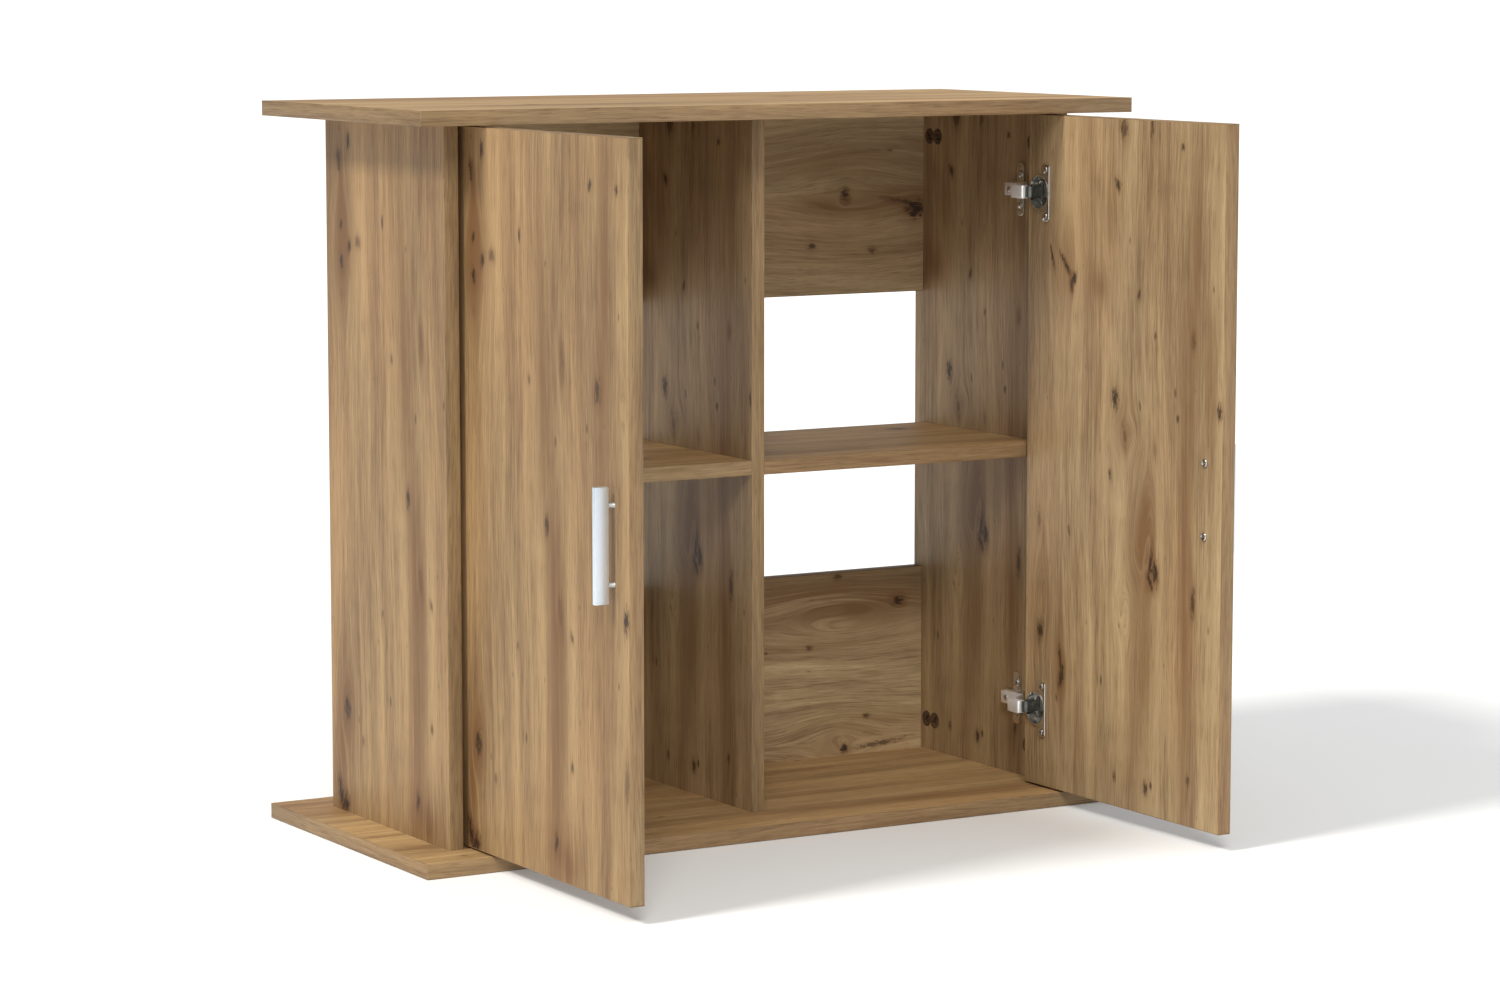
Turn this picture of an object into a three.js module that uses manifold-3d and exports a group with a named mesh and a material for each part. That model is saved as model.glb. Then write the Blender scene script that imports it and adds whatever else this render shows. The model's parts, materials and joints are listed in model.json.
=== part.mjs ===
// Aquarium stand cabinet: a top and a bottom board, two side panels, a divider with a half shelf on each
// side, two back panels with an open strip between them, and a pair of inset doors on
// concealed hinges.
//
// Millimetres, +Z up. The origin is the centre of the bottom board's underside, +X is to the right of
// somebody facing the doors, and the front is -Y. The doors stand open at a right angle.
// Everything on the right-hand side is built once, and a mirrored group makes the left-hand side.

import * as THREE from "three";
import { mergeVertices } from "three/addons/utils/BufferGeometryUtils.js";
import Module from "manifold-3d";

const wasm = await Module();
wasm.setup();

// ---- Driving dimensions ----

const WIDTH = 810; // top and bottom boards
const DEPTH = 360;
const HEIGHT = 730;
const BOARD = 15; // thickness of every board
const OVERHANG = 47.5; // boards past the carcass, the same on all four sides
const BACK_PANEL_HEIGHT = 200; // each of the two
const FRONT_RECESS = 20; // divider and shelves behind the side panels' front edges
const SHELF_TOP = 372.5;

const DOOR_SIDE_GAP = 2;
const DOOR_END_GAP = 2;
const DOOR_MEETING_GAP = 3;
const DOOR_OPEN_DEG = 90;

const TOUCH_GAP = 0.3; // between a piece and the pocket or the turned face that it sits on

// Concealed hinge, measured from the door's hinge edge, its outer face, or the pivot.
const HINGE_FROM_DOOR_END = 80;
const PIVOT_FROM_EDGE = 10;
const PIVOT_FROM_FACE = 5.9;
const CUP_RADIUS = 17.5;
const CUP_FROM_EDGE = 20.5;
const CUP_DEPTH = 11.5;
const CUP_WALL = 1;
const FLANGE_THICKNESS = 1.5;
const FLANGE_LENGTH = 58;
const FLANGE_EAR_WIDTH = 13;
const FLANGE_CORNER = 3;
const FLANGE_PAST_CUP = 0.5; // the flange's straight edge beyond the cup
const CUP_RIM = 0.8; // ring round the cup's mouth
const CUP_SCREW_FROM_EDGE = 32;
const CUP_SCREW_SPACING = 48;
const LINK_WIDTH = 11;
const LINK_THICKNESS = 2.2;
const LINK_REACH = 16.2; // from the pin out of the cup, to the middle of the link's straight end
const LINK_BEND = 4;
const LINK_RISE = 19; // from the pin to the end inside the arm
const PIN_RADIUS = 1.2;
const PIN_LENGTH = 19;
const ARM_WIDTH = 13;
const ARM_CORNER = 2.5;
const ARM_PAST_SCREW = 17;
const ARM_THICKNESS = 5; // where it lies on the plate
const CRANK_START = 21; // the cranked stretch, from the pivot
const CRANK_END = 36;
const CRANK_STEP = 2; // the arm's inner side bends this much later
const PLATE_SCREW_FROM_PIVOT = 54;
const PLATE_SCREW_SPACING = 32;
const PLATE_EAR_LENGTH = 55;
const PLATE_EAR_WIDTH = 12;
const PLATE_EAR_CORNER = 4;
const PLATE_THICKNESS = 2;
const PLATE_BODY_WIDTH = 17;
const PLATE_BODY_HEIGHT = 5.5;
const PLATE_BODY_FRONT = 16; // in front of the plate's screws
const PLATE_BODY_REAR = 15; // behind them

// Screws: a domed head and a plain shank, in a hole with TOUCH_GAP all round.
const CUP_SCREW = { head: 3.9, dome: 1.8, shank: 1.7, length: 9 };
const PLATE_SCREW = { head: 3.9, dome: 1.8, shank: 1.9, length: 12 };
const HANDLE_SCREW = { head: 4.3, dome: 2.3, shank: 2, length: 24 };

// Bar handle on two posts.
const HANDLE_LENGTH = 107;
const HANDLE_WIDTH = 6;
const HANDLE_DEPTH = 14;
const HANDLE_CORNER = 0.8;
const HANDLE_CLEAR = 6.6; // finger gap between the bar and the door
const HANDLE_FROM_FREE_EDGE = 28.5;
const HANDLE_CENTRE_Z = 345.5;
const HANDLE_SCREW_SPACING = 72.5;
const POST_RADIUS = 2.8;

// Connector that draws a side panel to a board: a plastic housing of two overlapping discs let into the
// panel's inner face, and a bolt up or down into the board.
const CONNECTOR_RADIUS = 8.5;
const CONNECTOR_SPREAD = 8; // each disc's centre from the housing's centre
const CONNECTOR_DEPTH = 11;
const CONNECTOR_FROM_END = 33;
const CONNECTOR_FROM_EDGE = 34.5;
const CONNECTOR_SLOT = { length: 10, width: 2.2, depth: 2 };
const BOLT_RADIUS = 3;
const BOLT_INTO_BOARD = 10.5;

const ROUND_STEPS = 20;
const SMALL_STEPS = 8;
const CORNER_STEPS = 4;
const BEND_STEPS = 6;
const THROUGH = 1; // how far a cutting shape goes past the face that it cuts

// ---- Dimensions that follow ----

const TOP_UNDERSIDE = HEIGHT - BOARD;
const PANEL_OUTER_X = WIDTH / 2 - OVERHANG;
const PANEL_INNER_X = PANEL_OUTER_X - BOARD;
const CARCASS_Y = DEPTH / 2 - OVERHANG; // front edge at -CARCASS_Y, rear face at +CARCASS_Y
const BACK_FRONT_Y = CARCASS_Y - BOARD;
const INSIDE_FRONT_Y = -CARCASS_Y + FRONT_RECESS;
const DIVIDER_X = BOARD / 2;

const DOOR_OUTER_Y = -CARCASS_Y; // closed, flush with the side panels' front edges
const DOOR_HINGE_X = PANEL_INNER_X - DOOR_SIDE_GAP;
const DOOR_FREE_X = DOOR_MEETING_GAP / 2;
const DOOR_BOTTOM = BOARD + DOOR_END_GAP;
const DOOR_TOP = TOP_UNDERSIDE - DOOR_END_GAP;
const PIVOT_X = DOOR_HINGE_X - PIVOT_FROM_EDGE;
const PIVOT_Y = DOOR_OUTER_Y + PIVOT_FROM_FACE;
const HINGE_LEVELS = { lower: DOOR_BOTTOM + HINGE_FROM_DOOR_END, upper: DOOR_TOP - HINGE_FROM_DOOR_END };

// ---- Materials ----

const MATERIALS = {
  oak: new THREE.MeshStandardMaterial({ color: 0xb0936a, roughness: 0.6, metalness: 0 }),
  aluminium: new THREE.MeshStandardMaterial({ color: 0xe2e6ee, roughness: 0.35, metalness: 0.9 }),
  nickel: new THREE.MeshStandardMaterial({ color: 0xd6d6d2, roughness: 0.22, metalness: 1 }),
  dark_steel: new THREE.MeshStandardMaterial({ color: 0x5c605f, roughness: 0.4, metalness: 0.9 }),
  screw_steel: new THREE.MeshStandardMaterial({ color: 0xc9c9c6, roughness: 0.3, metalness: 1 }),
  brown_plastic: new THREE.MeshStandardMaterial({ color: 0x4a3322, roughness: 0.5, metalness: 0 }),
};

// ---- Solids ----

// A closed geometry as a solid, whichever way its faces point.
function solidOf(geometry) {
  const bare = (geometry.index ? geometry.toNonIndexed() : geometry.clone()).deleteAttribute("normal");
  bare.deleteAttribute("uv");
  const merged = mergeVertices(bare, 1e-4);
  const triVerts = new Uint32Array(merged.index.array);
  const vertProperties = merged.attributes.position.array;
  const build = () => new wasm.Manifold(new wasm.Mesh({ numProp: 3, vertProperties, triVerts }));
  const solid = build();
  if (solid.volume() > 0) return solid;
  for (let i = 0; i < triVerts.length; i += 3) {
    [triVerts[i], triVerts[i + 1]] = [triVerts[i + 1], triVerts[i]];
  }
  return build();
}

function geometryOf(solid) {
  const mesh = solid.getMesh();
  const position = new THREE.BufferAttribute(new Float32Array(mesh.vertProperties), 3);
  return new THREE.BufferGeometry().setAttribute("position", position).setIndex(Array.from(mesh.triVerts));
}

// The first shape with others joined on.
function joined(first, ...others) {
  return geometryOf(others.reduce((solid, other) => solid.add(solidOf(other)), solidOf(first)));
}

// The first shape with others cut away.
function cut(first, ...others) {
  return geometryOf(others.reduce((solid, other) => solid.subtract(solidOf(other)), solidOf(first)));
}

// A block between two corners.
function block([x0, y0, z0], [x1, y1, z1]) {
  const geometry = new THREE.BoxGeometry(x1 - x0, y1 - y0, z1 - z0);
  return geometry.translate((x0 + x1) / 2, (y0 + y1) / 2, (z0 + z1) / 2);
}

// A round rod between two points on a line along X, Y or Z.
function rod(radius, from, to, steps = ROUND_STEPS) {
  const start = new THREE.Vector3(...from);
  const along = new THREE.Vector3(...to).sub(start);
  const geometry = new THREE.CylinderGeometry(radius, radius, along.length(), steps);
  geometry.translate(0, along.length() / 2, 0);
  const upright = new THREE.Vector3(0, 1, 0);
  const turn = new THREE.Quaternion().setFromUnitVectors(upright, along.clone().normalize());
  return geometry.applyQuaternion(turn).translate(start.x, start.y, start.z);
}

// A flat outline in X and Y, extruded evenly about z = 0.
function slab(shape, width) {
  const settings = { depth: width, bevelEnabled: false, curveSegments: BEND_STEPS };
  const geometry = new THREE.ExtrudeGeometry(shape, settings);
  return geometry.translate(0, 0, -width / 2);
}

// A plate with rounded corners, its outline in X and Y, extruded from z = 0 upwards.
function roundedPlate(width, height, corner, thickness) {
  const settings = { depth: thickness, bevelEnabled: false, curveSegments: CORNER_STEPS };
  return new THREE.ExtrudeGeometry(roundedRectangle(width, height, corner), settings);
}

function roundedRectangle(width, height, radius) {
  const [w, h] = [width / 2, height / 2];
  const shape = new THREE.Shape();
  shape.absarc(w - radius, h - radius, radius, 0, Math.PI / 2);
  shape.absarc(-w + radius, h - radius, radius, Math.PI / 2, Math.PI);
  shape.absarc(-w + radius, -h + radius, radius, Math.PI, 1.5 * Math.PI);
  shape.absarc(w - radius, -h + radius, radius, 1.5 * Math.PI, 2 * Math.PI);
  shape.closePath();
  return shape;
}

// A screw with its head's seat at the origin, its shank towards -Y and its dome towards +Y.
function screw({ head, dome, shank, length }) {
  const rim = 0.4 * dome;
  const shoulder = 0.72; // share of the dome's radius and rise at its middle corner
  const profile = [
    [0, -length],
    [shank / 2, -length],
    [shank, -length + shank],
    [shank, 0],
    [head, 0],
    [head, rim],
    [head * shoulder, rim + (dome - rim) * shoulder],
    [0, dome],
  ];
  const points = profile.map(([r, y]) => new THREE.Vector2(r, y));
  return geometryOf(solidOf(new THREE.LatheGeometry(points, SMALL_STEPS)));
}

// The hole that a screw's shank needs, from the seat inwards.
function screwHole({ shank, length }) {
  return rod(shank + TOUCH_GAP, [0, THROUGH, 0], [0, -length - TOUCH_GAP, 0], SMALL_STEPS);
}

// ---- The group and its meshes ----

const cabinet = new THREE.Group();

function place(parent, name, material, geometry, position = [0, 0, 0]) {
  const mesh = new THREE.Mesh(geometry, MATERIALS[material]);
  mesh.name = name;
  mesh.position.set(...position);
  parent.add(mesh);
  return mesh;
}

// ---- Connectors ----

// Every connector on the right-hand side: which board it pulls on, and which edge of the panel it is near.
const CONNECTORS = [
  { name: "top_front", up: true, y: -CARCASS_Y + CONNECTOR_FROM_EDGE },
  { name: "top_rear", up: true, y: CARCASS_Y - CONNECTOR_FROM_EDGE },
  { name: "bottom_front", up: false, y: -CARCASS_Y + CONNECTOR_FROM_EDGE },
  { name: "bottom_rear", up: false, y: CARCASS_Y - CONNECTOR_FROM_EDGE },
].map((c) => ({ ...c, z: c.up ? TOP_UNDERSIDE - CONNECTOR_FROM_END : BOARD + CONNECTOR_FROM_END }));

const BOLT_X = (PANEL_OUTER_X + PANEL_INNER_X) / 2;

function connectorDiscs({ y, z }, radius, depth) {
  const disc = (side) => {
    const centre = y + side * CONNECTOR_SPREAD;
    return rod(radius, [PANEL_INNER_X, centre, z], [PANEL_INNER_X + depth, centre, z]);
  };
  return joined(disc(-1), disc(1));
}

function connectorBolt({ up, y, z }, radius, extra) {
  const end = up ? TOP_UNDERSIDE + BOLT_INTO_BOARD + extra : BOARD - BOLT_INTO_BOARD - extra;
  return rod(radius, [BOLT_X, y, z], [BOLT_X, y, end], SMALL_STEPS);
}

// Crossed slots in the face of each disc, for the screwdriver.
function connectorSlots({ y, z }) {
  const { length, width, depth } = CONNECTOR_SLOT;
  return [-1, 1].flatMap((side) =>
    [1, -1].map((lean) => {
      const slot = new THREE.BoxGeometry(2 * depth, length, width);
      return slot.rotateX((lean * Math.PI) / 4).translate(PANEL_INNER_X, y + side * CONNECTOR_SPREAD, z);
    }),
  );
}

function connector(c) {
  const housing = cut(connectorDiscs(c, CONNECTOR_RADIUS, CONNECTOR_DEPTH), ...connectorSlots(c));
  return joined(housing, connectorBolt(c, BOLT_RADIUS, 0));
}

// The pocket and the bolt's bore, cut into a panel or a board.
function connectorPocket(c) {
  const pocket = connectorDiscs(c, CONNECTOR_RADIUS + TOUCH_GAP, CONNECTOR_DEPTH + TOUCH_GAP);
  return joined(pocket, connectorBolt(c, BOLT_RADIUS + TOUCH_GAP, TOUCH_GAP));
}

// ---- Boards ----

function mirroredInX(geometry) {
  return geometry.clone().scale(-1, 1, 1);
}

function endBoard(bottom, onTop) {
  const blank = block([-WIDTH / 2, -DEPTH / 2, bottom], [WIDTH / 2, DEPTH / 2, bottom + BOARD]);
  const bores = CONNECTORS.filter((c) => c.up === onTop).map((c) =>
    connectorBolt(c, BOLT_RADIUS + TOUCH_GAP, TOUCH_GAP),
  );
  return cut(blank, ...bores, ...bores.map(mirroredInX));
}

function backPanel(bottom) {
  const low = [-PANEL_INNER_X, BACK_FRONT_Y, bottom];
  return block(low, [PANEL_INNER_X, CARCASS_Y, bottom + BACK_PANEL_HEIGHT]);
}

place(cabinet, "top_board", "oak", endBoard(TOP_UNDERSIDE, true));
place(cabinet, "bottom_board", "oak", endBoard(0, false));
place(cabinet, "back_panel_upper", "oak", backPanel(TOP_UNDERSIDE - BACK_PANEL_HEIGHT));
place(cabinet, "back_panel_lower", "oak", backPanel(BOARD));
place(
  cabinet,
  "divider",
  "oak",
  block([-DIVIDER_X, INSIDE_FRONT_Y, BOARD], [DIVIDER_X, BACK_FRONT_Y, TOP_UNDERSIDE]),
);

// ---- Hinge: the parts fixed to the side panel, about the pivot at (0, 0, 0) ----

const PANEL_FACE = PANEL_INNER_X - PIVOT_X; // the panel's inner face, seen from the pivot

// Gooseneck link from the pin in the cup, round the door's edge, to the arm's nose.
function hingeLink() {
  const t = LINK_THICKNESS / 2;
  const bendX = LINK_BEND - LINK_REACH;
  const outline = new THREE.Shape();
  outline.moveTo(0, t);
  outline.lineTo(bendX, t);
  outline.absarc(bendX, LINK_BEND, LINK_BEND - t, 1.5 * Math.PI, Math.PI, true);
  outline.lineTo(-LINK_REACH + t, LINK_RISE);
  outline.lineTo(-LINK_REACH - t, LINK_RISE);
  outline.lineTo(-LINK_REACH - t, LINK_BEND);
  outline.absarc(bendX, LINK_BEND, LINK_BEND + t, Math.PI, 1.5 * Math.PI);
  outline.lineTo(0, -t);
  outline.absarc(0, 0, t, -Math.PI / 2, Math.PI / 2);
  const pin = rod(PIN_RADIUS, [0, 0, -PIN_LENGTH / 2], [0, 0, PIN_LENGTH / 2], SMALL_STEPS);
  return joined(slab(outline, LINK_WIDTH), pin);
}

const ARM_NOSE_X = -22.4; // the nose's face towards the inside of the cabinet
const ARM_BACK_X = -14.4; // its other side, which the link comes out of
const ARM_FRONT_Y = 3.6;
const ARM_REAR_Y = PLATE_SCREW_FROM_PIVOT + ARM_PAST_SCREW;
const PLATE_BODY_FACE = PANEL_FACE - PLATE_BODY_HEIGHT;

// Cranked arm from the nose to the mounting plate, with a slot for the link.
function hingeArm() {
  const outline = new THREE.Shape();
  outline.moveTo(ARM_BACK_X, ARM_FRONT_Y);
  outline.lineTo(ARM_BACK_X, CRANK_START);
  outline.lineTo(PLATE_BODY_FACE - TOUCH_GAP, CRANK_END);
  outline.lineTo(PLATE_BODY_FACE - TOUCH_GAP, ARM_REAR_Y);
  outline.lineTo(PLATE_BODY_FACE - ARM_THICKNESS, ARM_REAR_Y);
  outline.lineTo(PLATE_BODY_FACE - ARM_THICKNESS, CRANK_END + CRANK_STEP);
  outline.lineTo(ARM_NOSE_X, CRANK_START + CRANK_STEP);
  outline.lineTo(ARM_NOSE_X, ARM_FRONT_Y + ARM_CORNER);
  outline.absarc(ARM_NOSE_X + ARM_CORNER, ARM_FRONT_Y + ARM_CORNER, ARM_CORNER, Math.PI, 1.5 * Math.PI);
  outline.closePath();
  const clear = LINK_THICKNESS / 2 + TOUCH_GAP;
  const slot = block(
    [-LINK_REACH - clear, -THROUGH, -LINK_WIDTH / 2 - TOUCH_GAP],
    [ARM_BACK_X + THROUGH, LINK_RISE + TOUCH_GAP, LINK_WIDTH / 2 + TOUCH_GAP],
  );
  return cut(slab(outline, ARM_WIDTH), slot);
}

// Cross-shaped plate: a body along the panel under the arm, and an ear above and below it for the screws.
function hingePlate() {
  const ears = roundedPlate(PLATE_EAR_LENGTH, PLATE_EAR_WIDTH, PLATE_EAR_CORNER, PLATE_THICKNESS);
  ears.rotateY(-Math.PI / 2).translate(PANEL_FACE, PLATE_SCREW_FROM_PIVOT, 0);
  const body = block(
    [PLATE_BODY_FACE, PLATE_SCREW_FROM_PIVOT - PLATE_BODY_FRONT, -PLATE_BODY_WIDTH / 2],
    [PANEL_FACE, PLATE_SCREW_FROM_PIVOT + PLATE_BODY_REAR, PLATE_BODY_WIDTH / 2],
  );
  const holes = [-1, 1].map((side) => {
    const z = (side * PLATE_SCREW_SPACING) / 2;
    const start = [PANEL_FACE - PLATE_THICKNESS - THROUGH, PLATE_SCREW_FROM_PIVOT, z];
    const end = [PANEL_FACE + THROUGH, PLATE_SCREW_FROM_PIVOT, z];
    return rod(PLATE_SCREW.shank + TOUCH_GAP, start, end, SMALL_STEPS);
  });
  return cut(joined(ears, body), ...holes);
}

// A plate screw's place about the pivot: its seat is on the ear, and its shank runs into the panel.
function towardsPanel(geometry, side) {
  const z = (side * PLATE_SCREW_SPACING) / 2;
  const seat = PANEL_FACE - PLATE_THICKNESS - TOUCH_GAP;
  return geometry.rotateZ(Math.PI / 2).translate(seat, PLATE_SCREW_FROM_PIVOT, z);
}

// ---- Hinge: the cup let into the door, in the closed door's place about the pivot ----

const DOOR_EDGE = PIVOT_FROM_EDGE; // the door's hinge edge, seen from the pivot
const DOOR_FACE = -PIVOT_FROM_FACE;
const DOOR_BACK = DOOR_FACE + BOARD;
const CUP_X = DOOR_EDGE - CUP_FROM_EDGE;
const CUP_SCREW_X = DOOR_EDGE - CUP_SCREW_FROM_EDGE;

function hingeCup() {
  const seat = DOOR_BACK + TOUCH_GAP;
  const rim = seat + FLANGE_THICKNESS;
  const floor = DOOR_BACK - CUP_DEPTH;
  const farEdge = CUP_X - CUP_RADIUS - FLANGE_PAST_CUP;
  const ears = roundedPlate(FLANGE_EAR_WIDTH, FLANGE_LENGTH, FLANGE_CORNER, FLANGE_THICKNESS);
  ears.rotateX(Math.PI / 2).translate(farEdge + FLANGE_EAR_WIDTH / 2, rim, 0);
  const ring = rod(CUP_RADIUS + CUP_RIM, [CUP_X, seat, 0], [CUP_X, rim, 0]);
  const bowl = rod(CUP_RADIUS, [CUP_X, floor, 0], [CUP_X, rim, 0]);
  const hollow = rod(CUP_RADIUS - CUP_WALL, [CUP_X, floor + CUP_WALL, 0], [CUP_X, rim + THROUGH, 0]);
  const holes = [-1, 1].map((side) => {
    const z = (side * CUP_SCREW_SPACING) / 2;
    const start = [CUP_SCREW_X, seat - THROUGH, z];
    return rod(CUP_SCREW.shank + TOUCH_GAP, start, [CUP_SCREW_X, rim + THROUGH, z], SMALL_STEPS);
  });
  return cut(joined(ears, ring, bowl), hollow, ...holes);
}

function cupPocket() {
  const floor = DOOR_BACK - CUP_DEPTH - TOUCH_GAP;
  return rod(CUP_RADIUS + TOUCH_GAP, [CUP_X, floor, 0], [CUP_X, DOOR_BACK + THROUGH, 0]);
}

// A cup screw's place about the pivot, its seat on the flange.
function ontoFlange(geometry, side) {
  const seat = DOOR_BACK + 2 * TOUCH_GAP + FLANGE_THICKNESS;
  return geometry.translate(CUP_SCREW_X, seat, (side * CUP_SCREW_SPACING) / 2);
}

// ---- Handle, in the closed door's place about the pivot, with z about its centre ----

const HANDLE_X = DOOR_FREE_X + HANDLE_FROM_FREE_EDGE - PIVOT_X;
const HANDLE_BAR_BACK = DOOR_FACE - HANDLE_CLEAR;

function barHandle() {
  const outline = roundedRectangle(HANDLE_WIDTH, HANDLE_DEPTH, HANDLE_CORNER);
  const bar = slab(outline, HANDLE_LENGTH).translate(HANDLE_X, HANDLE_BAR_BACK - HANDLE_DEPTH / 2, 0);
  const posts = [-1, 1].map((side) => {
    const z = (side * HANDLE_SCREW_SPACING) / 2;
    const start = [HANDLE_X, HANDLE_BAR_BACK - THROUGH, z];
    return rod(POST_RADIUS, start, [HANDLE_X, DOOR_FACE - TOUCH_GAP, z], SMALL_STEPS);
  });
  const threads = [-1, 1].map((side) => throughDoor(screwHole(HANDLE_SCREW), side));
  return cut(joined(bar, ...posts), ...threads);
}

// A handle screw's place about the pivot: its head is on the door's back, and its shank runs into the post.
function throughDoor(geometry, side) {
  return geometry.translate(HANDLE_X, DOOR_BACK + TOUCH_GAP, (side * HANDLE_SCREW_SPACING) / 2);
}

// ---- One side of the cabinet ----

const ENDS = { lower: -1, upper: 1 };

function sidePanel() {
  const blank = block([PANEL_INNER_X, -CARCASS_Y, BOARD], [PANEL_OUTER_X, CARCASS_Y, TOP_UNDERSIDE]);
  const pockets = CONNECTORS.map(connectorPocket);
  const plateHoles = Object.values(HINGE_LEVELS).flatMap((level) =>
    Object.values(ENDS).map((end) =>
      towardsPanel(screwHole(PLATE_SCREW), end).translate(PIVOT_X, PIVOT_Y, level),
    ),
  );
  return cut(blank, ...pockets, ...plateHoles);
}

function shelf() {
  return block([DIVIDER_X, INSIDE_FRONT_Y, SHELF_TOP - BOARD], [PANEL_INNER_X, BACK_FRONT_Y, SHELF_TOP]);
}

function doorLeaf() {
  const blank = block(
    [DOOR_FREE_X - PIVOT_X, DOOR_FACE, DOOR_BOTTOM],
    [DOOR_EDGE, DOOR_BACK, DOOR_TOP],
  );
  const hingeCuts = Object.values(HINGE_LEVELS).flatMap((level) => [
    cupPocket().translate(0, 0, level),
    ...Object.values(ENDS).map((end) => ontoFlange(screwHole(CUP_SCREW), end).translate(0, 0, level)),
  ]);
  const handleHoles = Object.values(ENDS).map((end) =>
    throughDoor(screwHole(HANDLE_SCREW), end).translate(0, 0, HANDLE_CENTRE_Z),
  );
  return cut(blank, ...hingeCuts, ...handleHoles);
}

// The door with what is fixed to it. The group turns about the hinges' pivot.
function doorGroup(side) {
  const group = new THREE.Group();
  place(group, `door_${side}`, "oak", doorLeaf());
  place(group, `handle_${side}`, "aluminium", barHandle(), [0, 0, HANDLE_CENTRE_Z]);
  for (const [end, sign] of Object.entries(ENDS)) {
    const geometry = throughDoor(screw(HANDLE_SCREW), sign);
    place(group, `handle_screw_${side}_${end}`, "screw_steel", geometry, [0, 0, HANDLE_CENTRE_Z]);
  }
  for (const [level, z] of Object.entries(HINGE_LEVELS)) {
    place(group, `hinge_cup_${side}_${level}`, "nickel", hingeCup(), [0, 0, z]);
    for (const [end, sign] of Object.entries(ENDS)) {
      const geometry = ontoFlange(screw(CUP_SCREW), sign);
      place(group, `cup_screw_${side}_${level}_${end}`, "screw_steel", geometry, [0, 0, z]);
    }
  }
  group.position.set(PIVOT_X, PIVOT_Y, 0);
  group.rotation.z = THREE.MathUtils.degToRad(DOOR_OPEN_DEG);
  return group;
}

function sideGroup(side) {
  const group = new THREE.Group();
  place(group, `side_panel_${side}`, "oak", sidePanel());
  place(group, `shelf_${side}`, "oak", shelf());
  for (const c of CONNECTORS) {
    place(group, `panel_connector_${side}_${c.name}`, "brown_plastic", connector(c));
  }
  for (const [level, z] of Object.entries(HINGE_LEVELS)) {
    const pivot = [PIVOT_X, PIVOT_Y, z];
    place(group, `hinge_link_${side}_${level}`, "dark_steel", hingeLink(), pivot);
    place(group, `hinge_arm_${side}_${level}`, "nickel", hingeArm(), pivot);
    const plate = place(group, `hinge_plate_${side}_${level}`, "nickel", hingePlate(), pivot);
    plate.position.x -= TOUCH_GAP;
    for (const [end, sign] of Object.entries(ENDS)) {
      const geometry = towardsPanel(screw(PLATE_SCREW), sign);
      const seat = [PIVOT_X - TOUCH_GAP, PIVOT_Y, z];
      place(group, `plate_screw_${side}_${level}_${end}`, "screw_steel", geometry, seat);
    }
  }
  group.add(doorGroup(side));
  return group;
}

cabinet.add(sideGroup("right"));
const left = sideGroup("left");
left.scale.x = -1;
cabinet.add(left);

export default cabinet;
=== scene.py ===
import json
import math

import bmesh
import bpy
from mathutils import Matrix, Vector

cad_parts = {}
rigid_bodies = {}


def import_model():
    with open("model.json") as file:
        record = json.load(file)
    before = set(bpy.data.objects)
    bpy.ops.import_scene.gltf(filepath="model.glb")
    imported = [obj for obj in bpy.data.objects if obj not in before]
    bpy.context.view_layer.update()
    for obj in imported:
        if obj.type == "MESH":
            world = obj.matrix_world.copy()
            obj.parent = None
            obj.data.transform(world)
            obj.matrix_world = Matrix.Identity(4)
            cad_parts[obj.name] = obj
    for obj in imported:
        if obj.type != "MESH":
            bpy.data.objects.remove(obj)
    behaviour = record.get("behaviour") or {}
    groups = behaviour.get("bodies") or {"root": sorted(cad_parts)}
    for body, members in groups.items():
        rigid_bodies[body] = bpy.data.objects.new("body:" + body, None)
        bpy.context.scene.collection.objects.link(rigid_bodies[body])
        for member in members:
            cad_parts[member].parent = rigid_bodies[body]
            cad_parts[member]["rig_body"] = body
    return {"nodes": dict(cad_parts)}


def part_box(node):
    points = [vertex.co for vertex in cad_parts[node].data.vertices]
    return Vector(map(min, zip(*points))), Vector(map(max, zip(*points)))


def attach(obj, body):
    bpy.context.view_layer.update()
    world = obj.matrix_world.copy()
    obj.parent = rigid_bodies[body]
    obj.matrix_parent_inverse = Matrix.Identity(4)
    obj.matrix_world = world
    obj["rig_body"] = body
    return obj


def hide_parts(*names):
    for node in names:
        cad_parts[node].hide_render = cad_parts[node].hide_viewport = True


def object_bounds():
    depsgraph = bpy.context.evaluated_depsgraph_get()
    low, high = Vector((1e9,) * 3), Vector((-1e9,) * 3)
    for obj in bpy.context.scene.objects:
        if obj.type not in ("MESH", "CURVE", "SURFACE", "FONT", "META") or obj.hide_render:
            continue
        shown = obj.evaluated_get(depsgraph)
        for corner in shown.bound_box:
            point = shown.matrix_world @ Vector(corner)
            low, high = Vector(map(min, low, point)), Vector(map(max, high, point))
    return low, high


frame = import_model()
cad_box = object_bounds()

# All lengths are in metres, in the part's own frame: X right, Y to the rear, Z up.
MM = 0.001
X, Y, Z = range(3)
SIDES = {"right": 1, "left": -1}
LEVELS = ("lower", "upper")
SHEET = "sheet"  # the UV map, in metres: across the grain and along it

BAND = 0.8 * MM  # the edge bands' thickness
BAND_ROUND = 0.55 * MM
SAME_PLACE = 0.01 * MM  # points nearer than this are one
SQUARE_ON = 0.99  # the least part of a normal along an axis for a face to look that way
SMOOTH_UNDER = math.radians(32)


# ---------------------------------------------------------------- node trees

def linear(colour, cast=(1.0, 1.0, 1.0)):
    """An sRGB colour, each part 0 to 255, as the linear colour that sockets take, times a colour cast, with
    which the oak prints paint light and shade into their colour.
    """
    def channel(value):
        value /= 255
        return value / 12.92 if value <= 0.04045 else ((value + 0.055) / 1.055) ** 2.4
    return tuple(channel(part) * share for part, share in zip(colour, cast)) + (1.0,)


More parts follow.
